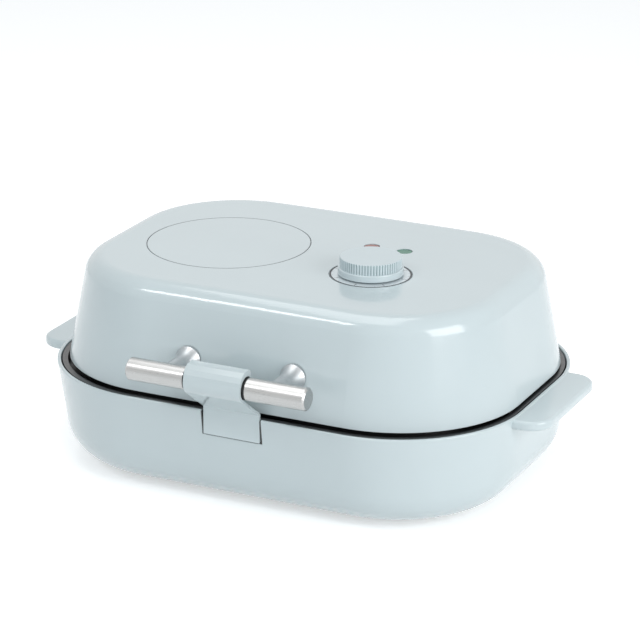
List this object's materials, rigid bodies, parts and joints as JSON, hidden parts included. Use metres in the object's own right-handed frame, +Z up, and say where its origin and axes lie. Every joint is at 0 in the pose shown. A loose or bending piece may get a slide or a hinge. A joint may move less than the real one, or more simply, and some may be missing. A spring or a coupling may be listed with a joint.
{
  "type": "sweet potato roaster",
  "caption": "Countertop roaster with a domed hinged lid, non-stick plates with potato hollows, a dial, lamps, side ears, a bar handle and a swinging latch clip.",
  "frame": {"origin": "on the table, under the middle of the bounding box", "axes": "+X to the right seen from the latch side, +Y from the latch to the hinges, +Z up"},
  "size_m": [0.3596, 0.2732, 0.1489],
  "materials": {
    "pale_blue_shell": "gloss pale blue",
    "black_frame": "satin black",
    "nonstick_plate": "dark non-stick coat on cast aluminium",
    "element_sheath": "matt sheath",
    "ceramic": "matt",
    "bare_steel": "bare sheet",
    "reflector_sheet": "bright aluminised sheet",
    "spring_steel": "spring wire",
    "terminal_plastic": "matt",
    "lead_sleeve": "silicone sleeve",
    "black_rubber": "matt",
    "hinge_metal": "pale blue paint",
    "screw_steel": "zinc plated",
    "pale_blue_disc": "gloss pale blue",
    "red_lens": "clear red",
    "green_lens": "clear green",
    "thermostat_body": "phenolic",
    "board": "laminate",
    "bar_aluminium": "brushed",
    "post_metal": "satin cast",
    "sleeve_nylon": "black nylon"
  },
  "bodies": {
    "base": {"base_shell": "pale_blue_shell", "base_frame": "black_frame", "lower_plate": "nonstick_plate", "lower_heater": "element_sheath", "lower_heater_beads": "ceramic", "lower_heater_clips": "bare_steel", "lower_reflector": "reflector_sheet", "lower_catch_spring": "spring_steel", "terminal_block": "terminal_plastic", "base_lead_live": "lead_sleeve", "base_lead_neutral": "lead_sleeve", "cord_gland": "black_rubber", "base_screws": "screw_steel", "rubber_feet": "black_rubber", "base_hinge_brackets": "hinge_metal", "base_hinge_screws": "screw_steel", "hinge_pins": "bare_steel"},
    "lid": {"lid_shell": "pale_blue_shell", "lid_frame": "black_frame", "upper_plate": "nonstick_plate", "upper_heater": "element_sheath", "upper_heater_beads": "ceramic", "upper_heater_clips": "bare_steel", "upper_reflector": "reflector_sheet", "upper_catch_spring": "spring_steel", "badge_disc": "pale_blue_disc", "scale_disc": "pale_blue_disc", "thermostat": "thermostat_body", "thermostat_bracket": "bare_steel", "red_lamp_lens": "red_lens", "green_lamp_lens": "green_lens", "lamp_board": "board", "thermal_fuse": "bare_steel", "fuse_strap": "bare_steel", "lid_lead": "lead_sleeve", "lid_screws": "screw_steel", "lid_hinge_brackets": "hinge_metal", "lid_hinge_screws": "screw_steel", "bar_handle": "bar_aluminium", "handle_post_left": "post_metal", "handle_post_right": "post_metal", "handle_screws": "screw_steel", "latch_sleeve": "sleeve_nylon"},
    "dial": {"dial_knob": "pale_blue_disc", "dial_spindle": "bare_steel"},
    "latch": {"latch_clip": "pale_blue_shell"},
    "lower_catch": {"lower_plate_catch": "black_frame"},
    "upper_catch": {"upper_plate_catch": "black_frame"}
  },
  "joints": [
    {"name": "lid_hinge", "type": "hinge", "parent": "base", "child": "lid", "pos_m": [0, 0.13107, 0.073], "axis": [-1, 0, 0], "range_deg": [0, 100]},
    {"name": "dial_turn", "type": "hinge", "parent": "lid", "child": "dial", "pos_m": [0.0492, -0.01312, 0.1371], "axis": [0, 0, -1], "range_deg": [0, 270]},
    {"name": "latch_swing", "type": "hinge", "parent": "lid", "child": "latch", "pos_m": [0, -0.12743, 0.094], "axis": [-1, 0, 0], "range_deg": [0, 95]},
    {"name": "lower_catch_slide", "type": "slide", "parent": "base", "child": "lower_catch", "axis": [-1, 0, 0], "range_m": [0, 0.004], "stiffness_N_per_m": 400, "springref_m": -0.002, "deforming": ["lower_catch_spring"]},
    {"name": "upper_catch_slide", "type": "slide", "parent": "lid", "child": "upper_catch", "axis": [-1, 0, 0], "range_m": [0, 0.004], "stiffness_N_per_m": 400, "springref_m": -0.002, "deforming": ["upper_catch_spring"]}
  ]
}
